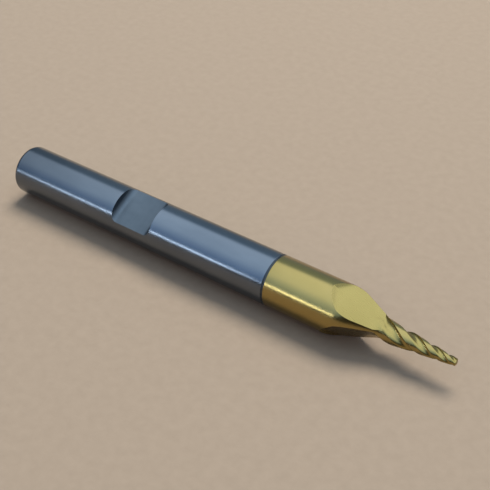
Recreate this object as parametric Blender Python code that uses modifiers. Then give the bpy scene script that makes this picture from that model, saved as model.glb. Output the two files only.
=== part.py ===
"""Tapered three-flute end mill with a 6 mm side-lock shank.

The tool lies along +X with its tip at +X and touches the ground plane Z = 0. A blued steel shank
has a blind socket in its front end. The coated cutting head has a spigot that sits in this socket,
and a film of filler metal joins the two. Round the tool axis, angles are counted from the
horizontal on the -Y side (0 degrees) up to the top (90 degrees).
"""
import math

import bmesh
import bpy

MM = 0.001

# Driving dimensions, in millimetres and degrees. Stations along the tool are measured from the
# joint face between shank and head: the head lies at positive stations.
SHANK_DIAMETER = 6.0
SHANK_LENGTH = 37.4
HEAD_LENGTH = 21.5
ROUND_STEPS = 36

REAR_EDGE_RADIUS = 0.5
REAR_EDGE_STEPS = 3
CENTRE_HOLE_DIAMETER = 1.5
CENTRE_HOLE_ANGLE = 60.0

FLAT_FROM_REAR = 18.85
FLAT_LENGTH = 5.7
FLAT_TO_AXIS = 1.8
FLAT_AZIMUTH = 66.0
FLAT_CORNER_RADIUS = 0.8

SPIGOT_DIAMETER = 3.0
SPIGOT_LENGTH = 4.0
FILLER_FILM = 0.08
FILLER_SEAM = 0.20
FILLER_RECESS = 0.04
GAP = 0.02
SOCKET_END_SPACE = 0.2
JOINT_CHAMFER = 0.04

# The head's outline: a collar that rounds over into a cone, then the tapered cutter.
SHOULDER_START = 8.5
SHOULDER_END = 10.5
CONE_HALF_ANGLE = 24.0
TIP_DIAMETER = 0.82
TIP_CORNER = 0.10
CUTTER_TAPER = 6.4

# The wound flutes; the cutting edge of one flute is at EDGE_AZIMUTH where EDGE_STATION is.
FLUTE_COUNT = 3
HELIX_ANGLE = 33.5
EDGE_STATION = 16.3
EDGE_AZIMUTH = 27.0
LAND_ANGLE = 42.0
LAND_RELIEF = 0.03
RAKE_ANGLE = -8.0
CORE_RATIO = 0.575
ROOT_ANGLE = 36.0
ROOT_REACH = 1.1
ROOT_RISE = 0.85

# The run-out scoops: a sloping flat behind each flute, with a short wall at its start.
SCOOP_AZIMUTH = 83.0
SCOOP_SLOPE = 18.3
SCOOP_REFERENCE = (10.08, 1.78)
SCOOP_LEAST_RATIO = 0.45
SCOOP_START = 7.15
SCOOP_START_AZIMUTH = 90.0
SCOOP_LOWER_SLANT = 0.45
SCOOP_UPPER_SLANT = 0.68
SCOOP_WALL_SLOPE = 0.45
SCOOP_WALL_FILLET = 0.25
ENTRY_END = 10.2
HOOK_START = 11.7
BACK_START = 12.6
HOOK_END = 14.8
EDGE_ROUNDING = 2.0
FLOOR_ROUNDING = 0.35
FLOOR_ROUNDED = 13.2
STEEPEST_ASIDE = 85.0
DEEPEST_RAKE = 0.7

# How finely the head is divided.
LAND_PARTS = ROUND_STEPS // FLUTE_COUNT
RAKE_PARTS = 1
ROOT_PARTS = 5
BACK_PARTS = 8
HELIX_STEP = 15.0
ENTRY_PARTS = 10
ENTRY_CROWDING = 1.3
CONE_PARTS = 4
RUN_OUT_PARTS = 16
HALVINGS = 40

SHANK_RADIUS = SHANK_DIAMETER / 2
TIP_RADIUS = TIP_DIAMETER / 2
SPIGOT_RADIUS = SPIGOT_DIAMETER / 2
SOCKET_RADIUS = SPIGOT_RADIUS + FILLER_FILM + 2 * GAP
SOCKET_DEPTH = SPIGOT_LENGTH + SOCKET_END_SPACE
SEAM_X = (SHANK_LENGTH - HEAD_LENGTH) / 2
JOINT_FACE = FILLER_SEAM / 2 + GAP


def empty_scene():
    for item in list(bpy.data.objects):
        bpy.data.objects.remove(item, do_unlink=True)


def new_collection(name):
    collection = bpy.data.collections.new(name)
    bpy.context.scene.collection.children.link(collection)
    return collection


def metal(name, colour, roughness):
    material = bpy.data.materials.new(name)
    material.use_nodes = True
    shader = material.node_tree.nodes["Principled BSDF"]
    shader.inputs["Base Color"].default_value = (*colour, 1.0)
    shader.inputs["Metallic"].default_value = 1.0
    shader.inputs["Roughness"].default_value = roughness
    return material


def lay_along_x(item):
    """Turn a piece modelled along its own Z so that it points along +X, on the tool axis."""
    item.rotation_euler = (0.0, math.radians(90.0), 0.0)
    item.location = (SEAM_X * MM, 0.0, SHANK_RADIUS * MM)


def turned(name, profile, collection, closed=False):
    """Spin a profile of (radius, station) points, in millimetres, round the tool axis."""
    mesh = bpy.data.meshes.new(name)
    points = [(radius * MM, 0.0, station * MM) for radius, station in profile]
    edges = [(i, i + 1) for i in range(len(points) - 1)]
    if closed:
        edges.append((len(points) - 1, 0))
    mesh.from_pydata(points, edges, [])
    item = bpy.data.objects.new(name, mesh)
    collection.objects.link(item)
    screw = item.modifiers.new("Turn", "SCREW")
    screw.steps = ROUND_STEPS
    screw.render_steps = ROUND_STEPS
    screw.use_merge_vertices = True
    screw.merge_threshold = 0.00001
    lay_along_x(item)
    return item


def fillet(centre, radius, start, end, parts):
    """Points on an arc round a (radius, station) centre, from angle start to end, in degrees."""
    points = []
    for i in range(parts + 1):
        angle = math.radians(start + (end - start) * i / parts)
        points.append((centre[0] + radius * math.cos(angle),
                       centre[1] + radius * math.sin(angle)))
    return points


def shank_profile():
    """From the floor of the socket, round the joint face, down the outside to the centre hole."""
    hole = CENTRE_HOLE_DIAMETER / 2
    hole_depth = hole / math.tan(math.radians(CENTRE_HOLE_ANGLE / 2))
    socket = [(0.0, -SOCKET_DEPTH), (SOCKET_RADIUS, -SOCKET_DEPTH), (SOCKET_RADIUS, -JOINT_FACE)]
    front_edge = [(SHANK_RADIUS - JOINT_CHAMFER, -JOINT_FACE),
                  (SHANK_RADIUS, -JOINT_FACE - JOINT_CHAMFER)]
    rear_centre = (SHANK_RADIUS - REAR_EDGE_RADIUS, -SHANK_LENGTH + REAR_EDGE_RADIUS)
    rear_edge = fillet(rear_centre, REAR_EDGE_RADIUS, 0.0, -90.0, REAR_EDGE_STEPS)
    centre_hole = [(hole, -SHANK_LENGTH), (0.0, -SHANK_LENGTH + hole_depth)]
    return socket + front_edge + rear_edge + centre_hole


def flat_cutter(collection):
    """The block that leaves the clamping flat; its lower corners are rounded."""
    height = SHANK_RADIUS
    bpy.ops.mesh.primitive_cube_add(size=1.0)
    cutter = bpy.context.active_object
    cutter.name = "clamping_flat_cutter"
    for owner in list(cutter.users_collection):
        owner.objects.unlink(cutter)
    collection.objects.link(cutter)
    for vertex in cutter.data.vertices:
        vertex.co.x *= FLAT_LENGTH * MM
        vertex.co.y *= 1.5 * SHANK_DIAMETER * MM
        vertex.co.z = (vertex.co.z + 0.5) * height * MM
    corners = bmesh.new()
    corners.from_mesh(cutter.data)
    lower = [edge for edge in corners.edges
             if all(vertex.co.z < 0.1 * height * MM for vertex in edge.verts)
             and abs(edge.verts[0].co.x - edge.verts[1].co.x) < GAP * MM]
    bmesh.ops.bevel(corners, geom=lower, offset=FLAT_CORNER_RADIUS * MM, segments=3,
                    profile=0.5, affect="EDGES")
    corners.to_mesh(cutter.data)
    corners.free()
    facing = math.radians(FLAT_AZIMUTH)
    cutter.rotation_euler = (math.radians(90.0 - FLAT_AZIMUTH), 0.0, 0.0)
    cutter.location = ((SEAM_X - SHANK_LENGTH + FLAT_FROM_REAR) * MM,
                       -FLAT_TO_AXIS * math.cos(facing) * MM,
                       (SHANK_RADIUS + FLAT_TO_AXIS * math.sin(facing)) * MM)
    cutter.hide_render = True
    cutter.display_type = "WIRE"
    return cutter


def add_shank(parts, cutters):
    shank = turned("shank", shank_profile(), parts)
    flat = shank.modifiers.new("Clamping flat", "BOOLEAN")
    flat.operation = "DIFFERENCE"
    flat.object = flat_cutter(cutters)
    shank.data.materials.append(metal("blued_steel", (0.13, 0.16, 0.20), 0.30))
    return shank


def add_braze_joint(parts):
    """The filler: a film round the spigot, with a collar that shows as a thin seam."""
    inner = SPIGOT_RADIUS + GAP
    film = inner + FILLER_FILM
    rim = SHANK_RADIUS - FILLER_RECESS
    seam = FILLER_SEAM / 2
    profile = [(inner, seam), (rim, seam), (rim, -seam), (film, -seam),
               (film, -SPIGOT_LENGTH), (inner, -SPIGOT_LENGTH)]
    joint = turned("braze_joint", profile, parts, closed=True)
    joint.data.materials.append(metal("braze_filler", (0.06, 0.05, 0.045), 0.5))
    return joint


def soft_least(first, second, width):
    """The lesser of two values, rounded where they are within a width of each other."""
    apart = abs(first - second)
    if apart >= width:
        return min(first, second)
    return (first + second) / 2 - (apart ** 2 + width ** 2) / (4 * width)


def ease(value, start, end):
    """0 before start, 1 after end and a smooth rise between them."""
    part = min(1.0, max(0.0, (value - start) / (end - start)))
    return part * part * (3.0 - 2.0 * part)


def blend(first, second, part):
    return tuple(a + (b - a) * part for a, b in zip(first, second))


def taper_radius(station):
    """Radius of the cutter's tapered envelope."""
    return TIP_RADIUS + (HEAD_LENGTH - station) * math.tan(math.radians(CUTTER_TAPER))


def envelope_radius(station):
    """Outer radius of the head: collar, rounded shoulder, cone, cutter and the tip's corner."""
    cone_angle = math.radians(CONE_HALF_ANGLE)
    bend = (SHOULDER_END - SHOULDER_START) / math.sin(cone_angle)
    past = min(max(station, SHOULDER_START), SHOULDER_END) - SHOULDER_START
    turned_down = SHANK_RADIUS - bend + math.sqrt(bend ** 2 - past ** 2)
    turned_down -= max(0.0, station - SHOULDER_END) * math.tan(cone_angle)
    radius = max(turned_down, min(SHANK_RADIUS, taper_radius(station)))
    into_corner = station - (HEAD_LENGTH - TIP_CORNER)
    if into_corner > 0.0:
        radius -= TIP_CORNER - math.sqrt(max(0.0, TIP_CORNER ** 2 - into_corner ** 2))
    return radius


def on_section(radius, azimuth):
    angle = math.radians(azimuth)
    return (-radius * math.sin(angle), -radius * math.cos(angle))


def turned_about(point, azimuth):
    """A point of a section turned round the axis."""
    angle = math.radians(azimuth)
    x, y = point
    return (x * math.cos(angle) + y * math.sin(angle), y * math.cos(angle) - x * math.sin(angle))


def scoop_plane(station):
    """Distance from the tool axis to the scoop's flat floor."""
    reference_station, reference_height = SCOOP_REFERENCE
    fallen = (station - reference_station) * math.tan(math.radians(SCOOP_SLOPE))
    return max(reference_height - fallen, SCOOP_LEAST_RATIO * envelope_radius(station))


def scoop_height(station, across):
    """Height of the scooped surface over the axis; across is positive towards low azimuths."""
    start_across = SHANK_RADIUS * math.sin(math.radians(SCOOP_AZIMUTH - SCOOP_START_AZIMUTH))
    start_height = math.sqrt(SHANK_RADIUS ** 2 - start_across ** 2) - scoop_plane(SCOOP_START)
    aside = across - start_across
    wall = (start_height / SCOOP_WALL_SLOPE + SCOOP_START - station
            + max(SCOOP_LOWER_SLANT * aside, -SCOOP_UPPER_SLANT * aside))
    wall = -soft_least(-wall, 0.0, SCOOP_WALL_FILLET)
    return scoop_plane(station) + SCOOP_WALL_SLOPE * wall


def scoop_edge(station, side):
    """Where the scoop meets the envelope, found by halving; side is 1 for the low azimuths."""
    radius = envelope_radius(station)
    inside = SHANK_RADIUS * math.sin(math.radians(SCOOP_AZIMUTH - SCOOP_START_AZIMUTH))
    if scoop_height(station, inside) >= math.sqrt(radius ** 2 - inside ** 2):
        return SCOOP_START_AZIMUTH
    outside = side * radius
    for _ in range(HALVINGS):
        middle = (inside + outside) / 2
        if scoop_height(station, middle) < math.sqrt(radius ** 2 - middle ** 2):
            inside = middle
        else:
            outside = middle
    return SCOOP_AZIMUTH - math.degrees(math.asin(inside / radius))


def flute_edges(station):
    """Azimuths of the heel and the cutting edge on either side of one wound flute."""
    wind = math.tan(math.radians(HELIX_ANGLE)) / math.tan(math.radians(CUTTER_TAPER))
    turn = wind * math.log(taper_radius(station) / taper_radius(EDGE_STATION))
    edge = EDGE_AZIMUTH + math.degrees(turn)
    heel = edge - 360.0 / FLUTE_COUNT + LAND_ANGLE
    return heel, edge


def land_points(radius, start, end, relief):
    """Points on a land, from its cutting edge towards its heel, which lies a little lower."""
    points = []
    for i in range(LAND_PARTS):
        part = i / LAND_PARTS
        points.append(on_section(radius * (1.0 - relief * part), start + (end - start) * part))
    return points


def scoop_points(station, heel, edge):
    """Points across one run-out scoop, from its low edge to its high one."""
    radius = envelope_radius(station)
    low = radius * math.sin(math.radians(SCOOP_AZIMUTH - heel))
    high = radius * math.sin(math.radians(SCOOP_AZIMUTH - edge))
    points = []
    for i in range(BACK_PARTS):
        across = low + (high - low) * i / BACK_PARTS
        height = scoop_height(station, across)
        points.append(on_section(math.hypot(height, across),
                                 SCOOP_AZIMUTH - math.degrees(math.atan2(across, height))))
    return points + [on_section(radius, edge)] * (ROOT_PARTS + RAKE_PARTS)


def floor_radius(station, azimuth, heel, edge, heel_radius):
    """Radius of a flute's floor: the scoop's plane, then the core with the back rising from it."""
    core = CORE_RATIO * envelope_radius(station)
    wound_in = ease(station, BACK_START, HOOK_END)
    back = heel_radius - (heel_radius - core) * ease(azimuth, heel, edge - ROOT_ANGLE)
    wound = core + (back - core) * wound_in
    aside = math.radians(min(STEEPEST_ASIDE, abs(azimuth - SCOOP_AZIMUTH)))
    plane = scoop_plane(station) / math.cos(aside) * (1.0 - wound_in)
    rounding = FLOOR_ROUNDING * ease(station, HOOK_START, FLOOR_ROUNDED)
    return min(-soft_least(-wound, -plane, rounding), heel_radius)


def rake_corner(station, heel, edge, heel_radius):
    """Depth, azimuth and place of the corner between rake face and floor, found by halving."""
    radius = envelope_radius(station)
    end = on_section(radius, edge)
    inward = on_section(1.0, edge + 180.0 - RAKE_ANGLE)
    shallow, deep = 0.0, DEEPEST_RAKE * radius
    for _ in range(HALVINGS):
        depth = (shallow + deep) / 2
        x, y = (e + depth * i for e, i in zip(end, inward))
        azimuth = math.degrees(math.atan2(-x, -y))
        azimuth += 360.0 * round((edge - azimuth) / 360.0)
        if math.hypot(x, y) > floor_radius(station, azimuth, heel, edge, heel_radius):
            shallow = depth
        else:
            deep = depth
    if depth < GAP / 10:
        return 0.0, edge, end
    return depth, azimuth, (x, y)


def flute_points(station, heel, edge, heel_radius):
    """Points across one flute: the floor, a rounded root and a straight rake face."""
    depth, azimuth, corner = rake_corner(station, heel, edge, heel_radius)
    end = on_section(envelope_radius(station), edge)
    rake_foot = blend(corner, end, ROOT_RISE)
    floor_end = azimuth - math.degrees(ROOT_REACH * depth / math.hypot(*corner))
    points = []
    for i in range(BACK_PARTS + 1):
        azimuth = heel + (floor_end - heel) * i / BACK_PARTS
        points.append(on_section(floor_radius(station, azimuth, heel, edge, heel_radius), azimuth))
    last = points.pop()
    for i in range(ROOT_PARTS):
        part = i / ROOT_PARTS
        points.append(blend(blend(last, corner, part), blend(corner, rake_foot, part), part))
    return points + [blend(rake_foot, end, i / RAKE_PARTS) for i in range(RAKE_PARTS)]


def head_section(station):
    """One closed ring of points across the head."""
    radius = envelope_radius(station)
    relief = LAND_RELIEF * ease(station, HOOK_START, HOOK_END)
    heel, edge = flute_edges(station)
    if station < HOOK_END:
        wound_in = ease(station, BACK_START, HOOK_END)
        heel = scoop_edge(station, 1) * (1.0 - wound_in) + heel * wound_in
        edge = soft_least(scoop_edge(station, -1), edge, EDGE_ROUNDING)
    if station <= SCOOP_START:
        gap = [on_section(radius, heel)] * (BACK_PARTS + ROOT_PARTS + RAKE_PARTS)
    elif station < HOOK_START:
        gap = scoop_points(station, heel, edge)
    else:
        gap = flute_points(station, heel, edge, radius * (1.0 - relief))
    pitch = 360.0 / FLUTE_COUNT
    ring = []
    for tooth in range(FLUTE_COUNT):
        turn = tooth * pitch
        ring += land_points(radius, edge + turn, heel + turn + pitch, relief)
        ring += [turned_about(point, turn + pitch) for point in gap]
    return ring


def head_stations():
    """Stations from the first scoop to the tip, closer together where the shape changes."""
    entry = [SCOOP_START + (ENTRY_END - SCOOP_START) * (i / ENTRY_PARTS) ** ENTRY_CROWDING
             for i in range(ENTRY_PARTS + 1)]
    cone = [ENTRY_END + (HOOK_START - ENTRY_END) * i / CONE_PARTS
            for i in range(1, CONE_PARTS + 1)]
    run_out = [HOOK_START + (HOOK_END - HOOK_START) * i / RUN_OUT_PARTS
               for i in range(1, RUN_OUT_PARTS + 1)]
    shrink = math.exp(-math.radians(HELIX_STEP) * math.tan(math.radians(CUTTER_TAPER))
                      / math.tan(math.radians(HELIX_ANGLE)))
    cutter = []
    radius = taper_radius(HOOK_END) * shrink
    while radius > taper_radius(HEAD_LENGTH - 2 * TIP_CORNER):
        cutter.append(HEAD_LENGTH - (radius - TIP_RADIUS) / math.tan(math.radians(CUTTER_TAPER)))
        radius *= shrink
    tip = [HEAD_LENGTH - TIP_CORNER * (1.0 - i / 2) for i in range(3)]
    return entry + cone + run_out + cutter + tip


def round_ring(radius):
    """The collar's ring drawn to another radius, so that every ring matches its neighbours."""
    scale = radius / SHANK_RADIUS
    return [(x * scale, y * scale) for x, y in head_section(SCOOP_START)]


def head_rings():
    """All rings of the head as (station, points), from the end of the spigot to the tip."""
    rings = [(-SPIGOT_LENGTH, round_ring(SPIGOT_RADIUS)),
             (JOINT_FACE, round_ring(SPIGOT_RADIUS)),
             (JOINT_FACE, round_ring(SHANK_RADIUS - JOINT_CHAMFER)),
             (JOINT_FACE + JOINT_CHAMFER, round_ring(SHANK_RADIUS))]
    rings += [(station, head_section(station)) for station in head_stations()]
    return rings


def add_cutting_head(parts):
    """Loft the rings; points that fall together where a scoop has not begun share a vertex."""
    surface = bmesh.new()
    known = {}
    rings = []
    for station, points in head_rings():
        ring = []
        for x, y in points:
            key = (round(x, 6), round(y, 6), round(station, 6))
            if key not in known:
                known[key] = surface.verts.new((x * MM, y * MM, station * MM))
            ring.append(known[key])
        rings.append(ring)
    for lower, upper in zip(rings, rings[1:]):
        for i in range(len(lower)):
            corners = [lower[i - 1], lower[i], upper[i], upper[i - 1]]
            distinct = list(dict.fromkeys(corners))
            if len(distinct) > 2:
                surface.faces.new(distinct)
    for ring in (rings[0], rings[-1]):
        surface.faces.new(list(dict.fromkeys(ring)))
    bmesh.ops.recalc_face_normals(surface, faces=surface.faces)
    mesh = bpy.data.meshes.new("cutting_head")
    surface.to_mesh(mesh)
    surface.free()
    head = bpy.data.objects.new("cutting_head", mesh)
    parts.objects.link(head)
    lay_along_x(head)
    head.data.materials.append(metal("nitride_gold", (0.72, 0.55, 0.22), 0.28))
    return head


def main():
    empty_scene()
    parts = new_collection("end_mill")
    cutters = new_collection("cutters")
    for item in (add_shank(parts, cutters), add_braze_joint(parts), add_cutting_head(parts)):
        item.data.shade_smooth()
        item.data.set_sharp_from_angle(angle=math.radians(28.0))


main()
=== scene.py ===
"""Looks of a small tapered end mill: fine surfaces, metal finishes, soft light and the camera.

Named sizes are in millimetres and degrees; the grain of a finish is in cells per metre, and its
depth in metres. Stations along the tool are counted from the joint between shank and head, towards
the tip at +X. Round the tool axis, azimuths are counted from the horizontal on the -Y side
(0 degrees) up to the top (90 degrees).
"""
import math

import bmesh
import bpy
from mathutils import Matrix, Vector


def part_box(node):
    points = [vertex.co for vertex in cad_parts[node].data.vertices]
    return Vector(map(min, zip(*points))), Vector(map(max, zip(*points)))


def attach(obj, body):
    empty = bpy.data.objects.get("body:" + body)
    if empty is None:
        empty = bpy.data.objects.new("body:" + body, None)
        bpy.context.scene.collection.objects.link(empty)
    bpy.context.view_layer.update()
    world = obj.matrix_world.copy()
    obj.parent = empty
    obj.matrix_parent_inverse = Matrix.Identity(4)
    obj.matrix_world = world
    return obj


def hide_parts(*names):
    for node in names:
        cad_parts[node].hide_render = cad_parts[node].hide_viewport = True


MM = 0.001

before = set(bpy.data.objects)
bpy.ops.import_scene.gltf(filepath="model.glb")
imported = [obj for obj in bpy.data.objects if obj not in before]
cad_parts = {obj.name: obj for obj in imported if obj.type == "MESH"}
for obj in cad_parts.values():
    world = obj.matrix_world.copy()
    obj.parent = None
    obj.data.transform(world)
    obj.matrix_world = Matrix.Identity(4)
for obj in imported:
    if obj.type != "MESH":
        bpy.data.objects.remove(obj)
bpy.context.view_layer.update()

# ------------------------------------------------------------------ sizes, from the frame
shank_low, shank_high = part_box("shank")
head_low, head_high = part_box("cutting_head")
joint_low, joint_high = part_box("braze_joint")

FILLER_SEAM = 0.20
SEAM_X = joint_high.x - FILLER_SEAM / 2 * MM
AXIS_HEIGHT = (shank_low.z + shank_high.z) / 2
SHANK_RADIUS = (shank_high.z - shank_low.z) / 2 / MM
SHANK_LENGTH = (SEAM_X - shank_low.x) / MM
HEAD_LENGTH = (head_high.x - SEAM_X) / MM
SPIGOT_LENGTH = (SEAM_X - head_low.x) / MM
FILLER_RADIUS = (joint_high.z - joint_low.z) / 2 / MM

# ------------------------------------------------------------------ details of the shapes
ROUND_STEPS = 180
GAP = 0.02
JOINT_FACE = FILLER_SEAM / 2 + GAP
JOINT_CHAMFER = 0.05
SPIGOT_RADIUS = 1.5
FILLER_FILM = 0.08
SOCKET_RADIUS = SPIGOT_RADIUS + FILLER_FILM + 2 * GAP
SOCKET_END_SPACE = 0.2
SOCKET_DEPTH = SPIGOT_LENGTH + SOCKET_END_SPACE

REAR_EDGE_RADIUS = 0.5
CENTRE_HOLE_RADIUS = 0.75
CENTRE_HOLE_ANGLE = 60.0
CENTRE_HOLE_EDGE = 0.04
FLAT_FROM_REAR = 18.85
FLAT_LENGTH = 5.7
FLAT_TO_AXIS = 1.8
FLAT_AZIMUTH = 66.0
FLAT_CORNER_RADIUS = 0.8

# The outline that the head is ground to before it is fluted.
SHOULDER_START = 8.5
SHOULDER_END = 10.5
CONE_HALF_ANGLE = 24.0
TIP_RADIUS = 0.41
TIP_CORNER = 0.10
CUTTER_TAPER = 6.4

# The flutes, wound at a constant helix angle on the taper.
FLUTE_COUNT = 3
HELIX_ANGLE = 33.5
EDGE_STATION = 16.3
EDGE_AZIMUTH = 27.0
LAND_ANGLE = 42.0
LAND_RELIEF = 0.03
RAKE_ANGLE = -8.0
CORE_RATIO = 0.575
ROOT_ANGLE = 36.0
ROOT_REACH = 1.1
ROOT_RISE = 0.85

# The run-out scoops, and the stations where each turns into a wound flute.
SCOOP_AZIMUTH = 83.0
SCOOP_SLOPE = 18.3
SCOOP_REFERENCE = (10.08, 1.78)
SCOOP_LEAST_RATIO = 0.45
SCOOP_START = 7.15
SCOOP_START_AZIMUTH = 90.0
SCOOP_LOWER_SLANT = 0.45
SCOOP_UPPER_SLANT = 0.68
SCOOP_WALL_SLOPE = 0.45
SCOOP_WALL_FILLET = 0.25
ENTRY_END = 10.2
HOOK_START = 11.7
BACK_START = 12.6
HOOK_END = 14.8
EDGE_ROUNDING = 2.0
FLOOR_ROUNDING = 0.35
FLOOR_ROUNDED = 13.2
STEEPEST_ASIDE = 85.0
DEEPEST_RAKE = 0.7
LEAST_RAKE = 0.001

# How finely the surfaces are divided, and which edges stay sharp.
REAR_EDGE_PARTS = 16
SHANK_EDGE_PARTS = 3
HEAD_EDGE_PARTS = 4
FLAT_CORNER_PARTS = 10
LAND_PARTS = ROUND_STEPS // FLUTE_COUNT
RAKE_PARTS = 8
ROOT_PARTS = 12
BACK_PARTS = 28
ENTRY_PARTS = 40
ENTRY_CROWDING = 1.5
CONE_PARTS = 30
RUN_OUT_PARTS = 48
HELIX_STEP = 4.0
TIP_PARTS = 6
TIP_MARGIN = 1.1
HALVINGS = 40
LAND_MARGIN = 0.5
SHARP_ANGLE = 28.0

# The shank and the head have two finishes each: one where turned, one where the wheel has cut.
TURNED, CUT = 0, 1

# ------------------------------------------------------------------ camera, floor and light
CAMERA_AZIMUTH = 35.3
CAMERA_ELEVATION = 38.9
CAMERA_AIM = (3.76, 0.0, 6.0)
CAMERA_DISTANCE = 103.7
CAMERA_LENS = 69.8
CAMERA_NEAR = 1.0

# Light from the room, by azimuth round the tool and by a direction's component along the tool.
SKY_COLOURS = ((0.0, (0.04, 0.04, 0.04)),
               (8.0, (0.06, 0.07, 0.08)),
               (12.5, (0.36, 0.58, 0.92)),
               (35.0, (0.78, 1.08, 1.46)),
               (62.0, (1.36, 1.66, 1.92)),
               (122.0, (1.50, 1.76, 1.98)),
               (134.0, (0.36, 0.52, 0.66)),
               (180.0, (0.30, 0.37, 0.42)))
STRIP_AZIMUTHS = (9.0, 11.2)
STRIP_EDGE = 1.0
STRIP_STRENGTH = 13.0
STRIP_COLOUR = (0.90, 1.0, 1.08)
STRIP_END_ALONG = (-0.34, -0.26)
SKY_BEND = 32.0
SKY_BEND_ALONG = (-0.32, 0.5)
REAR_DARKNESS_ALONG = (-0.85, -0.5)
REAR_LIGHT = 0.12
FRONT_DARKNESS_ALONG = (0.5, 0.85)
FRONT_LIGHT = 0.3

# Two soft lamps: the main one behind the tool, a weak warm one in front of it.
LAMP_PLACE = (-60.0, 285.0, 545.0)
LAMP_SIZE = 320.0
LAMP_POWER = 9.4
LAMP_COLOUR = (1.0, 0.94, 0.86)
FILL_PLACE = (150.0, -480.0, 420.0)
FILL_SIZE = 500.0
FILL_POWER = 0.9
FILL_COLOUR = (1.0, 0.54, 0.24)

FLOOR_HALF = 12000.0
FLOOR_GAP = 0.01


# ================================================================== node helpers
NOISE_ROUGHNESS = 0.55
NOISE_LOW, NOISE_HIGH = 0.3, 0.7


class Shader:
    """A material being built: makes nodes and links them, so that a finish reads as a recipe."""

    def __init__(self, name, metallic=1.0):
        self.material = bpy.data.materials.new(name)
        self.material.use_nodes = True
        self.tree = self.material.node_tree
        self.surface = self.tree.nodes["Principled BSDF"]
        self.surface.inputs["Metallic"].default_value = metallic

    def node(self, kind, **settings):
        made = self.tree.nodes.new(kind)
        for key, value in settings.items():
            setattr(made, key, value)
        return made

    def link(self, source, target):
        self.tree.links.new(source, target)

    def place(self, scale):
        """The object's own coordinates, stretched differently along each axis."""
        coordinates = self.node("ShaderNodeTexCoord")
        mapping = self.node("ShaderNodeMapping")
        mapping.inputs["Scale"].default_value = scale
        self.link(coordinates.outputs["Object"], mapping.inputs["Vector"])
        return mapping.outputs["Vector"]

    def noise(self, scale, detail=3.0):
        """A noise value, with scale in cells per metre along X, Y and Z."""
        texture = self.node("ShaderNodeTexNoise")
        texture.inputs["Scale"].default_value = 1.0
        texture.inputs["Detail"].default_value = detail
        texture.inputs["Roughness"].default_value = NOISE_ROUGHNESS
        self.link(self.place(scale), texture.inputs["Vector"])
        return texture.outputs["Fac"]

    def spread(self, value, low, high):
        """Map a noise value onto a range."""
        ranged = self.node("ShaderNodeMapRange", clamp=True)
        ranged.inputs["From Min"].default_value = NOISE_LOW
        ranged.inputs["From Max"].default_value = NOISE_HIGH
        ranged.inputs["To Min"].default_value = low
        ranged.inputs["To Max"].default_value = high
        self.link(value, ranged.inputs["Value"])
        return ranged.outputs["Result"]

    def colours(self, value, first, second):
        """A colour between two, by a noise value."""
        ramp = self.node("ShaderNodeValToRGB")
        ramp.color_ramp.elements[0].position = NOISE_LOW
        ramp.color_ramp.elements[0].color = (*first, 1.0)
        ramp.color_ramp.elements[1].position = NOISE_HIGH
        ramp.color_ramp.elements[1].color = (*second, 1.0)
        self.link(value, ramp.inputs["Fac"])
        return ramp.outputs["Color"]

    def sum(self, first, second):
        added = self.node("ShaderNodeMath", operation="ADD")
        self.link(first, added.inputs[0])
        self.link(second, added.inputs[1])
        return added.outputs["Value"]

    def bump(self, height, distance, strength=1.0):
        """Raise the surface by a height of 0 to 1 times a distance in metres."""
        bump = self.node("ShaderNodeBump")
        bump.inputs["Strength"].default_value = strength
        bump.inputs["Distance"].default_value = distance
        self.link(height, bump.inputs["Height"])
        return bump.outputs["Normal"]

    def finish(self, colour=None, roughness=None, normal=None):
        for name, source in (("Base Color", colour), ("Roughness", roughness),
                             ("Normal", normal)):
            if source is not None:
                self.link(source, self.surface.inputs[name])
        return self.material


# ================================================================== finishes
def blued_steel():
    """Ground steel with a bluish base colour: fine rings round the shank and faint cloudiness."""
    steel = Shader("blued_steel")
    cloud = steel.noise((90.0, 260.0, 260.0), detail=4.0)
    rings = steel.noise((7000.0, 40.0, 40.0), detail=2.0)
    colour = steel.colours(cloud, (0.120, 0.138, 0.165), (0.150, 0.170, 0.200))
    roughness = steel.sum(steel.spread(cloud, 0.205, 0.225), steel.spread(rings, 0.0, 0.010))
    normal = steel.bump(rings, 1e-7)
    return steel.finish(colour, roughness, normal)


def ground_flat():
    """The clamping flat: duller, with grinding lines across the tool."""
    steel = Shader("ground_flat")
    cloud = steel.noise((300.0, 500.0, 500.0))
    lines = steel.noise((9000.0, 120.0, 120.0), detail=2.0)
    colour = steel.colours(cloud, (0.096, 0.114, 0.134), (0.118, 0.137, 0.158))
    roughness = steel.spread(lines, 0.42, 0.50)
    normal = steel.bump(lines, 5e-7)
    return steel.finish(colour, roughness, normal)


def nitride_gold():
    """Titanium nitride over a collar with fine grinding rings."""
    gold = Shader("nitride_gold")
    cloud = gold.noise((200.0, 300.0, 300.0))
    rings = gold.noise((6000.0, 40.0, 40.0), detail=2.0)
    colour = gold.colours(cloud, (0.330, 0.242, 0.084), (0.362, 0.267, 0.097))
    roughness = gold.sum(gold.spread(cloud, 0.215, 0.23), gold.spread(rings, 0.0, 0.010))
    normal = gold.bump(rings, 1e-7)
    return gold.finish(colour, roughness, normal)


def nitride_flutes():
    """Titanium nitride over wheel marks that run along the tool."""
    gold = Shader("nitride_flutes")
    cloud = gold.noise((200.0, 300.0, 300.0))
    marks = gold.noise((300.0, 6000.0, 6000.0), detail=2.0)
    colour = gold.colours(cloud, (0.322, 0.238, 0.078), (0.364, 0.270, 0.092))
    roughness = gold.spread(marks, 0.26, 0.31)
    normal = gold.bump(marks, 4e-7)
    return gold.finish(colour, roughness, normal)


def braze_filler():
    """Dark, grainy, oxidised filler metal."""
    filler = Shader("braze_filler")
    grain = filler.noise((4000.0, 4000.0, 4000.0))
    colour = filler.colours(grain, (0.050, 0.056, 0.064), (0.090, 0.098, 0.11))
    return filler.finish(colour, filler.spread(grain, 0.45, 0.6), filler.bump(grain, 4e-6))


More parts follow.
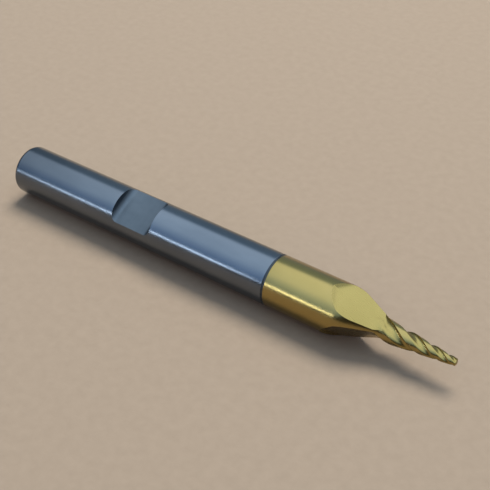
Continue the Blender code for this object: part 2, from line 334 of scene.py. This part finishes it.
def pale_board():
    """The plain floor, with a faint paper grain."""
    board = Shader("pale_board", metallic=0.0)
    grain = board.noise((900.0, 900.0, 900.0), detail=5.0)
    colour = board.colours(grain, (0.146, 0.115, 0.086), (0.158, 0.125, 0.094))
    board.surface.inputs["Roughness"].default_value = 0.9
    return board.finish(colour, None, board.bump(grain, 4e-5, strength=0.5))


# ================================================================== shapes
def to_world(station, point):
    """World place of a (y, z) point of the section at a station."""
    return (SEAM_X + station * MM, point[0] * MM, AXIS_HEIGHT + point[1] * MM)


def on_section(radius, azimuth):
    """The (y, z) point at a radius and an azimuth."""
    angle = math.radians(azimuth)
    return (-radius * math.cos(angle), radius * math.sin(angle))


def piece_from(name, surface, node, materials):
    """Finish a bmesh as a piece that stands for a CAD node."""
    mesh = bpy.data.meshes.new(name)
    surface.to_mesh(mesh)
    surface.free()
    piece = bpy.data.objects.new(name, mesh)
    bpy.context.scene.collection.objects.link(piece)
    for material in materials:
        mesh.materials.append(material)
    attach(piece, "root")
    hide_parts(node)
    return piece


def turned_surface(profile, closed=False):
    """A bmesh of a profile of (radius, station) points spun round the tool axis."""
    surface = bmesh.new()
    rings = []
    for radius, station in profile:
        if radius < GAP / 2:
            rings.append([surface.verts.new(to_world(station, (0.0, 0.0)))] * ROUND_STEPS)
            continue
        rings.append([surface.verts.new(to_world(station, on_section(
            radius, 360.0 * i / ROUND_STEPS))) for i in range(ROUND_STEPS)])
    pairs = list(zip(rings, rings[1:]))
    if closed:
        pairs.append((rings[-1], rings[0]))
    join_rings(surface, pairs)
    bmesh.ops.recalc_face_normals(surface, faces=surface.faces)
    return surface


def join_rings(surface, pairs):
    """Faces between rings of equal length; corners that share a vertex make triangles."""
    faces = []
    for lower, upper in pairs:
        row = []
        for i in range(len(lower)):
            distinct = list(dict.fromkeys([lower[i - 1], lower[i], upper[i], upper[i - 1]]))
            row.append(surface.faces.new(distinct) if len(distinct) > 2 else None)
        faces.append(row)
    return faces


def arc(centre, radius, start, end, parts):
    """Points of an arc, as (radius, station) or (along, height) pairs."""
    points = []
    for i in range(parts + 1):
        angle = math.radians(start + (end - start) * i / parts)
        points.append((centre[0] + radius * math.cos(angle),
                       centre[1] + radius * math.sin(angle)))
    return points


def shank_profile():
    """From the bottom of the socket, over the outside, to the bottom of the centre hole."""
    hole_depth = CENTRE_HOLE_RADIUS / math.tan(math.radians(CENTRE_HOLE_ANGLE / 2))
    rear_centre = (SHANK_RADIUS - REAR_EDGE_RADIUS, -SHANK_LENGTH + REAR_EDGE_RADIUS)
    return ([(0.0, -SOCKET_DEPTH), (SOCKET_RADIUS, -SOCKET_DEPTH), (SOCKET_RADIUS, -JOINT_FACE),
             (SHANK_RADIUS - JOINT_CHAMFER, -JOINT_FACE)]
            + arc((SHANK_RADIUS - JOINT_CHAMFER, -JOINT_FACE - JOINT_CHAMFER), JOINT_CHAMFER,
                  60.0, 0.0, SHANK_EDGE_PARTS)
            + arc(rear_centre, REAR_EDGE_RADIUS, 0.0, -90.0, REAR_EDGE_PARTS)
            + [(CENTRE_HOLE_RADIUS + CENTRE_HOLE_EDGE, -SHANK_LENGTH),
               (CENTRE_HOLE_RADIUS, -SHANK_LENGTH + CENTRE_HOLE_EDGE),
               (0.0, -SHANK_LENGTH + hole_depth)])


def flat_cutter():
    """A block whose two lower cross edges are rounded, as the grinding wheel's corners are."""
    half = FLAT_LENGTH / 2
    corner = FLAT_CORNER_RADIUS
    outline = ([(half, 2 * SHANK_RADIUS)]
               + arc((half - corner, corner), corner, 0.0, -90.0, FLAT_CORNER_PARTS)
               + arc((-half + corner, corner), corner, -90.0, -180.0, FLAT_CORNER_PARTS)
               + [(-half, 2 * SHANK_RADIUS)])
    block = bmesh.new()
    middle = -SHANK_LENGTH + FLAT_FROM_REAR
    facing = math.radians(FLAT_AZIMUTH)
    out = (-math.cos(facing), math.sin(facing))
    across = (math.sin(facing), math.cos(facing))
    sides = []
    for side in (-1.5 * SHANK_RADIUS, 1.5 * SHANK_RADIUS):
        sides.append([block.verts.new(to_world(middle + along, (
            out[0] * (FLAT_TO_AXIS + height) + across[0] * side,
            out[1] * (FLAT_TO_AXIS + height) + across[1] * side))) for along, height in outline])
    join_rings(block, [tuple(sides)])
    for side in sides:
        block.faces.new(side)
    bmesh.ops.recalc_face_normals(block, faces=block.faces)
    mesh = bpy.data.meshes.new("flat_cutter")
    block.to_mesh(mesh)
    block.free()
    cutter = bpy.data.objects.new("flat_cutter", mesh)
    bpy.context.scene.collection.objects.link(cutter)
    return cutter


def add_shank(steel, flat):
    """Turn the shank, then cut its flat and keep the result as plain mesh."""
    shank = piece_from("shank_body", turned_surface(shank_profile()), "shank",
                       [steel, flat])
    cutter = flat_cutter()
    for face in cutter.data.polygons:
        face.material_index = CUT
    cutter.data.materials.append(steel)
    cutter.data.materials.append(flat)
    cut = shank.modifiers.new("Clamping flat", "BOOLEAN")
    cut.object = cutter
    cut.solver = "EXACT"
    bpy.context.view_layer.update()
    whole = shank.evaluated_get(bpy.context.evaluated_depsgraph_get())
    mesh = bpy.data.meshes.new_from_object(whole)
    shank.modifiers.clear()
    shank.data = mesh
    bpy.data.objects.remove(cutter)
    mesh.shade_smooth()
    mesh.set_sharp_from_angle(angle=math.radians(SHARP_ANGLE))


def add_braze_joint(filler):
    """The filler: a film round the spigot, with a collar that shows as a thin seam."""
    inner = SPIGOT_RADIUS + GAP
    film = inner + FILLER_FILM
    seam = FILLER_SEAM / 2
    profile = [(inner, seam), (FILLER_RADIUS, seam), (FILLER_RADIUS, -seam), (film, -seam),
               (film, -SPIGOT_LENGTH), (inner, -SPIGOT_LENGTH)]
    joint = piece_from("braze_seam", turned_surface(profile, closed=True), "braze_joint",
                       [filler])
    joint.data.shade_smooth()
    joint.data.set_sharp_from_angle(angle=math.radians(SHARP_ANGLE))


# ------------------------------------------------------------------ cutting head
def soft_least(first, second, width):
    """The lesser of two values, rounded where they are within a width of each other."""
    apart = abs(first - second)
    if apart >= width:
        return min(first, second)
    return (first + second) / 2 - (apart ** 2 + width ** 2) / (4 * width)


def ease(value, start, end):
    """0 before start, 1 after end and a smooth rise between them."""
    part = min(1.0, max(0.0, (value - start) / (end - start)))
    return part * part * (3.0 - 2.0 * part)


def blend(first, second, part):
    return tuple(a + (b - a) * part for a, b in zip(first, second))


def taper_radius(station):
    """Radius of the cutter's tapered envelope."""
    return TIP_RADIUS + (HEAD_LENGTH - station) * math.tan(math.radians(CUTTER_TAPER))


def envelope_radius(station):
    """Outer radius of the head: collar, rounded shoulder, cone, cutter and the tip's corner."""
    cone_angle = math.radians(CONE_HALF_ANGLE)
    bend = (SHOULDER_END - SHOULDER_START) / math.sin(cone_angle)
    past = min(max(station, SHOULDER_START), SHOULDER_END) - SHOULDER_START
    turned = SHANK_RADIUS - bend + math.sqrt(bend ** 2 - past ** 2)
    turned -= max(0.0, station - SHOULDER_END) * math.tan(cone_angle)
    radius = max(turned, min(SHANK_RADIUS, taper_radius(station)))
    into_corner = station - (HEAD_LENGTH - TIP_CORNER)
    if into_corner > 0.0:
        radius -= TIP_CORNER - math.sqrt(max(0.0, TIP_CORNER ** 2 - into_corner ** 2))
    return radius


def scoop_plane(station):
    """Distance from the tool axis to the scoop's floor, which falls and then follows the cone."""
    reference_station, reference_height = SCOOP_REFERENCE
    fallen = (station - reference_station) * math.tan(math.radians(SCOOP_SLOPE))
    return max(reference_height - fallen, SCOOP_LEAST_RATIO * envelope_radius(station))


def scoop_height(station, across):
    """Height of the scooped surface over the axis; across is positive towards low azimuths."""
    start_across = SHANK_RADIUS * math.sin(math.radians(SCOOP_AZIMUTH - SCOOP_START_AZIMUTH))
    start_height = math.sqrt(SHANK_RADIUS ** 2 - start_across ** 2) - scoop_plane(SCOOP_START)
    aside = across - start_across
    wall = (start_height / SCOOP_WALL_SLOPE + SCOOP_START - station
            + max(SCOOP_LOWER_SLANT * aside, -SCOOP_UPPER_SLANT * aside))
    wall = -soft_least(-wall, 0.0, SCOOP_WALL_FILLET)
    return scoop_plane(station) + SCOOP_WALL_SLOPE * wall


def scoop_edge(station, side):
    """Where the scoop meets the envelope, found by halving; side is 1 for the low azimuths."""
    radius = envelope_radius(station)
    inside = SHANK_RADIUS * math.sin(math.radians(SCOOP_AZIMUTH - SCOOP_START_AZIMUTH))
    if scoop_height(station, inside) >= math.sqrt(radius ** 2 - inside ** 2):
        return SCOOP_START_AZIMUTH
    outside = side * radius
    for _ in range(HALVINGS):
        middle = (inside + outside) / 2
        if scoop_height(station, middle) < math.sqrt(radius ** 2 - middle ** 2):
            inside = middle
        else:
            outside = middle
    return SCOOP_AZIMUTH - math.degrees(math.asin(inside / radius))


def flute_edges(station):
    """Azimuths of the heel and the cutting edge on either side of one flute."""
    wind = math.tan(math.radians(HELIX_ANGLE)) / math.tan(math.radians(CUTTER_TAPER))
    turn = wind * math.log(taper_radius(station) / taper_radius(EDGE_STATION))
    edge = EDGE_AZIMUTH + math.degrees(turn)
    heel = edge - 360.0 / FLUTE_COUNT + LAND_ANGLE
    return heel, edge


def land_points(radius, start, end, relief):
    """Points on a land, from its cutting edge towards its heel, which lies a little lower."""
    points = []
    for i in range(LAND_PARTS):
        part = i / LAND_PARTS
        points.append(on_section(radius * (1.0 - relief * part), start + (end - start) * part))
    return points


def scoop_points(station, heel, edge):
    """Points across one run-out scoop, from its low edge to its high one."""
    radius = envelope_radius(station)
    low = radius * math.sin(math.radians(SCOOP_AZIMUTH - heel))
    high = radius * math.sin(math.radians(SCOOP_AZIMUTH - edge))
    points = []
    for i in range(BACK_PARTS):
        across = low + (high - low) * i / BACK_PARTS
        height = scoop_height(station, across)
        points.append(on_section(math.hypot(height, across),
                                 SCOOP_AZIMUTH - math.degrees(math.atan2(across, height))))
    return points + [on_section(radius, edge)] * (ROOT_PARTS + RAKE_PARTS)


def floor_radius(station, azimuth, heel, edge, heel_radius):
    """Radius of a flute's floor: the scoop's plane, then the core with the back rising from it."""
    core = CORE_RATIO * envelope_radius(station)
    wound_in = ease(station, BACK_START, HOOK_END)
    back = heel_radius - (heel_radius - core) * ease(azimuth, heel, edge - ROOT_ANGLE)
    wound = core + (back - core) * wound_in
    aside = math.radians(min(STEEPEST_ASIDE, abs(azimuth - SCOOP_AZIMUTH)))
    plane = scoop_plane(station) / math.cos(aside) * (1.0 - wound_in)
    rounding = FLOOR_ROUNDING * ease(station, HOOK_START, FLOOR_ROUNDED)
    return min(-soft_least(-wound, -plane, rounding), heel_radius)


def rake_corner(station, heel, edge, heel_radius):
    """Depth, azimuth and place of the corner between rake face and floor, found by halving."""
    radius = envelope_radius(station)
    end = on_section(radius, edge)
    inward = on_section(1.0, edge + 180.0 - RAKE_ANGLE)
    shallow, deep = 0.0, DEEPEST_RAKE * radius
    for _ in range(HALVINGS):
        depth = (shallow + deep) / 2
        y, z = (e + depth * i for e, i in zip(end, inward))
        azimuth = math.degrees(math.atan2(z, -y))
        azimuth += 360.0 * round((edge - azimuth) / 360.0)
        if math.hypot(y, z) > floor_radius(station, azimuth, heel, edge, heel_radius):
            shallow = depth
        else:
            deep = depth
    if shallow <= LEAST_RAKE:
        return 0.0, edge, end
    return shallow, azimuth, tuple(e + shallow * i for e, i in zip(end, inward))


def flute_points(station, heel, edge, heel_radius):
    """Points across one flute: the floor, a rounded root and a straight rake face."""
    depth, azimuth, corner = rake_corner(station, heel, edge, heel_radius)
    end = on_section(envelope_radius(station), edge)
    rake_foot = blend(corner, end, ROOT_RISE)
    floor_end = azimuth - math.degrees(ROOT_REACH * depth / math.hypot(*corner))
    points = []
    for i in range(BACK_PARTS + 1):
        azimuth = heel + (floor_end - heel) * i / BACK_PARTS
        points.append(on_section(floor_radius(station, azimuth, heel, edge, heel_radius), azimuth))
    last = points.pop()
    for i in range(ROOT_PARTS):
        part = i / ROOT_PARTS
        points.append(blend(blend(last, corner, part), blend(corner, rake_foot, part), part))
    return points + [blend(rake_foot, end, i / RAKE_PARTS) for i in range(RAKE_PARTS)]


def turned_about(point, azimuth):
    """A (y, z) point turned round the axis."""
    angle = math.radians(azimuth)
    y, z = point
    return (y * math.cos(angle) + z * math.sin(angle), z * math.cos(angle) - y * math.sin(angle))


def head_section(station):
    """One closed ring of (y, z) points across the head."""
    radius = envelope_radius(station)
    relief = LAND_RELIEF * ease(station, HOOK_START, HOOK_END)
    heel, edge = flute_edges(station)
    if station < HOOK_END:
        wound_in = ease(station, BACK_START, HOOK_END)
        heel = scoop_edge(station, 1) * (1.0 - wound_in) + heel * wound_in
        edge = soft_least(scoop_edge(station, -1), edge, EDGE_ROUNDING)
    if station <= SCOOP_START:
        gap = [on_section(radius, heel)] * (BACK_PARTS + ROOT_PARTS + RAKE_PARTS)
    elif station < HOOK_START:
        gap = scoop_points(station, heel, edge)
    else:
        gap = flute_points(station, heel, edge, radius * (1.0 - relief))
    pitch = 360.0 / FLUTE_COUNT
    ring = []
    for tooth in range(FLUTE_COUNT):
        turn = tooth * pitch
        ring += land_points(radius, edge + turn, heel + turn + pitch, relief)
        ring += [turned_about(point, turn + pitch) for point in gap]
    return ring


def head_stations():
    """Stations from the first scoop to the tip, closer together where the shape changes."""
    entry = [SCOOP_START + (ENTRY_END - SCOOP_START) * (i / ENTRY_PARTS) ** ENTRY_CROWDING
             for i in range(ENTRY_PARTS + 1)]
    cone = [ENTRY_END + (HOOK_START - ENTRY_END) * i / CONE_PARTS
            for i in range(1, CONE_PARTS + 1)]
    run_out = [HOOK_START + (HOOK_END - HOOK_START) * i / RUN_OUT_PARTS
               for i in range(1, RUN_OUT_PARTS + 1)]
    shrink = math.exp(-math.radians(HELIX_STEP) * math.tan(math.radians(CUTTER_TAPER))
                      / math.tan(math.radians(HELIX_ANGLE)))
    cutter = []
    radius = taper_radius(HOOK_END) * shrink
    while radius > taper_radius(HEAD_LENGTH - TIP_MARGIN * TIP_CORNER):
        cutter.append(HEAD_LENGTH - (radius - TIP_RADIUS) / math.tan(math.radians(CUTTER_TAPER)))
        radius *= shrink
    tip = [HEAD_LENGTH - TIP_CORNER * math.cos(math.radians(90.0 / TIP_PARTS * i))
           for i in range(TIP_PARTS + 1)]
    return entry + cone + run_out + cutter + tip


def round_ring(radius):
    """The collar's ring drawn to another radius, so that every ring matches its neighbours."""
    scale = radius / SHANK_RADIUS
    return [(y * scale, z * scale) for y, z in head_section(SCOOP_START)]


def head_rings():
    """All rings of the head as (station, points), from the end of the spigot to the tip."""
    edge_centre = (SHANK_RADIUS - JOINT_CHAMFER, JOINT_FACE + JOINT_CHAMFER)
    rings = [(-SPIGOT_LENGTH, round_ring(SPIGOT_RADIUS)),
             (JOINT_FACE, round_ring(SPIGOT_RADIUS))]
    for radius, station in arc(edge_centre, JOINT_CHAMFER, -90.0, 0.0, HEAD_EDGE_PARTS):
        rings.append((station, round_ring(radius)))
    rings += [(station, head_section(station)) for station in head_stations()]
    return rings


def land_normal(station, vertex):
    """The true normal of the turned envelope at a vertex."""
    step = 0.01
    slope = (envelope_radius(station + step) - envelope_radius(station - step)) / (2 * step)
    radial = Vector((0.0, vertex.y, vertex.z - AXIS_HEIGHT)).normalized()
    return Vector((-slope, radial.y, radial.z)).normalized()


def add_cutting_head(ground, fluted):
    """Loft the rings; points that fall together where a scoop has not begun share a vertex."""
    surface = bmesh.new()
    known = {}
    rings = []
    for station, points in head_rings():
        ring = []
        for y, z in points:
            key = (round(y, 6), round(z, 6), round(station, 6))
            if key not in known:
                known[key] = surface.verts.new(to_world(station, (y, z)))
            ring.append(known[key])
        rings.append(ring)
    rows = join_rings(surface, list(zip(rings, rings[1:])))
    per_tooth = len(rings[0]) // FLUTE_COUNT
    for row in rows:
        for i, face in enumerate(row):
            if face is not None:
                face.material_index = TURNED if 0 < i % per_tooth <= LAND_PARTS else CUT
    for ring in (rings[0], rings[-1]):
        end = surface.faces.new(list(dict.fromkeys(ring)))
        end.material_index = CUT
    bmesh.ops.recalc_face_normals(surface, faces=surface.faces)
    for edge in surface.edges:
        kinds = {face.material_index for face in edge.link_faces}
        edge.smooth = len(kinds) == 1 and edge.calc_face_angle(0.0) < math.radians(SHARP_ANGLE)
    for face in surface.faces:
        face.smooth = True
    head = piece_from("cutter_head", surface, "cutting_head", [ground, fluted])
    smooth_lands(head.data)


def smooth_lands(mesh):
    """Give the lands, where the loft's faces are long and thin, their exact normals."""
    normals = [Vector(corner.vector) for corner in mesh.corner_normals]
    first_land = SEAM_X + (JOINT_FACE + 2 * JOINT_CHAMFER) * MM
    for face in mesh.polygons:
        if face.material_index != TURNED or face.center.x < first_land:
            continue
        for loop in face.loop_indices:
            vertex = mesh.vertices[mesh.loops[loop].vertex_index].co
            station = (vertex.x - SEAM_X) / MM
            if SCOOP_START - LAND_MARGIN < station < HEAD_LENGTH - 2 * TIP_CORNER:
                normals[loop] = land_normal(station, vertex)
    mesh.normals_split_custom_set(normals)


# ================================================================== stage
def add_floor():
    """A plain square, a hair below the tool."""
    surface = bmesh.new()
    corners = [(-1, -1), (1, -1), (1, 1), (-1, 1)]
    surface.faces.new([surface.verts.new((x * FLOOR_HALF * MM, y * FLOOR_HALF * MM,
                                          -FLOOR_GAP * MM)) for x, y in corners])
    mesh = bpy.data.meshes.new("floor")
    surface.to_mesh(mesh)
    surface.free()
    floor = bpy.data.objects.new("floor", mesh)
    bpy.context.scene.collection.objects.link(floor)
    mesh.materials.append(pale_board())


def add_camera():
    """A camera that looks down at the tool from the side of its clamping flat."""
    camera = bpy.data.objects.new("camera", bpy.data.cameras.new("camera"))
    bpy.context.scene.collection.objects.link(camera)
    camera.data.lens = CAMERA_LENS
    camera.data.clip_start = CAMERA_NEAR * MM
    azimuth = math.radians(CAMERA_AZIMUTH)
    elevation = math.radians(CAMERA_ELEVATION)
    back = Vector((math.sin(azimuth) * math.cos(elevation),
                   -math.cos(azimuth) * math.cos(elevation), math.sin(elevation)))
    camera.location = (Vector(CAMERA_AIM) + back * CAMERA_DISTANCE) * MM
    camera.rotation_euler = (math.radians(90.0) - elevation, 0.0, azimuth)
    bpy.context.scene.camera = camera


class Sky:
    """The world's nodes: light as a function of direction only."""

    def __init__(self):
        world = bpy.data.worlds.new("studio")
        bpy.context.scene.world = world
        world.use_nodes = True
        self.tree = world.node_tree
        self.background = self.tree.nodes["Background"]
        coordinates = self.tree.nodes.new("ShaderNodeTexCoord")
        self.parts = self.tree.nodes.new("ShaderNodeSeparateXYZ")
        self.tree.links.new(coordinates.outputs["Generated"], self.parts.inputs["Vector"])

    def maths(self, operation, first, second):
        node = self.tree.nodes.new("ShaderNodeMath")
        node.operation = operation
        for socket, value in zip(node.inputs, (first, second)):
            if isinstance(value, float):
                socket.default_value = value
            else:
                self.tree.links.new(value, socket)
        return node.outputs["Value"]

    def rise(self, value, start, end, low=0.0, high=1.0):
        """A smooth rise from low to high as the value goes from start to end."""
        node = self.tree.nodes.new("ShaderNodeMapRange")
        node.interpolation_type = "SMOOTHSTEP"
        for name, number in (("From Min", start), ("From Max", end), ("To Min", low),
                             ("To Max", high)):
            node.inputs[name].default_value = number
        self.tree.links.new(value, node.inputs["Value"])
        return node.outputs["Result"]

    def ramp(self, value, stops):
        node = self.tree.nodes.new("ShaderNodeValToRGB")
        elements = node.color_ramp.elements
        while len(elements) < len(stops):
            elements.new(0.5)
        for element, (position, colour) in zip(elements, stops):
            element.position = position
            element.color = (*colour, 1.0)
        self.tree.links.new(value, node.inputs["Fac"])
        return node.outputs["Color"]


def add_sky():
    """Soft light from above, brightest a little past the top, with a low strip light in front.

    It changes with the azimuth round the tool's direction, so it lies in bands along the tool. The
    bands bend upwards towards the tip. Towards the tool's two ends the room is darker.
    """
    sky = Sky()
    along = sky.parts.outputs["X"]
    front = sky.maths("MULTIPLY", sky.parts.outputs["Y"], -1.0)
    azimuth = sky.maths("ARCTAN2", sky.parts.outputs["Z"], front)
    bend = sky.rise(along, *SKY_BEND_ALONG, 0.0, math.radians(SKY_BEND))
    turn = sky.maths("DIVIDE", sky.maths("SUBTRACT", azimuth, bend), math.pi)
    room = sky.ramp(turn, [(degrees / 180.0, colour) for degrees, colour in SKY_COLOURS])
    low, high = (math.radians(degrees) for degrees in STRIP_AZIMUTHS)
    edge = math.radians(STRIP_EDGE)
    strip = sky.maths("MULTIPLY", sky.rise(azimuth, low - edge, low),
                      sky.rise(azimuth, high, high + edge, 1.0, 0.0))
    strip = sky.maths("MULTIPLY", strip, sky.rise(along, *STRIP_END_ALONG, STRIP_STRENGTH, 0.0))
    strip_colour = sky.tree.nodes.new("ShaderNodeVectorMath")
    strip_colour.operation = "SCALE"
    strip_colour.inputs[0].default_value = STRIP_COLOUR
    sky.tree.links.new(strip, strip_colour.inputs["Scale"])
    whole = sky.tree.nodes.new("ShaderNodeVectorMath")
    whole.operation = "ADD"
    sky.tree.links.new(room, whole.inputs[0])
    sky.tree.links.new(strip_colour.outputs["Vector"], whole.inputs[1])
    sky.tree.links.new(whole.outputs["Vector"], sky.background.inputs["Color"])
    ends = sky.maths("MULTIPLY", sky.rise(along, *REAR_DARKNESS_ALONG, REAR_LIGHT, 1.0),
                     sky.rise(along, *FRONT_DARKNESS_ALONG, 1.0, FRONT_LIGHT))
    sky.tree.links.new(ends, sky.background.inputs["Strength"])


def add_lamp(name, place, size, power, colour):
    """A large soft lamp that lights the floor and shows in no reflection."""
    light = bpy.data.lights.new(name, "AREA")
    light.shape = "DISK"
    light.size = size * MM
    light.energy = power
    light.color = colour
    lamp = bpy.data.objects.new(name, light)
    bpy.context.scene.collection.objects.link(lamp)
    lamp.visible_glossy = False
    lamp.location = Vector(place) * MM
    lamp.rotation_euler = (-lamp.location).to_track_quat("-Z", "Y").to_euler()


def main():
    bpy.context.scene.view_settings.view_transform = "Standard"
    add_camera()
    add_floor()
    add_sky()
    add_lamp("lamp", LAMP_PLACE, LAMP_SIZE, LAMP_POWER, LAMP_COLOUR)
    add_lamp("fill", FILL_PLACE, FILL_SIZE, FILL_POWER, FILL_COLOUR)
    add_shank(blued_steel(), ground_flat())
    add_braze_joint(braze_filler())
    add_cutting_head(nitride_gold(), nitride_flutes())


main()
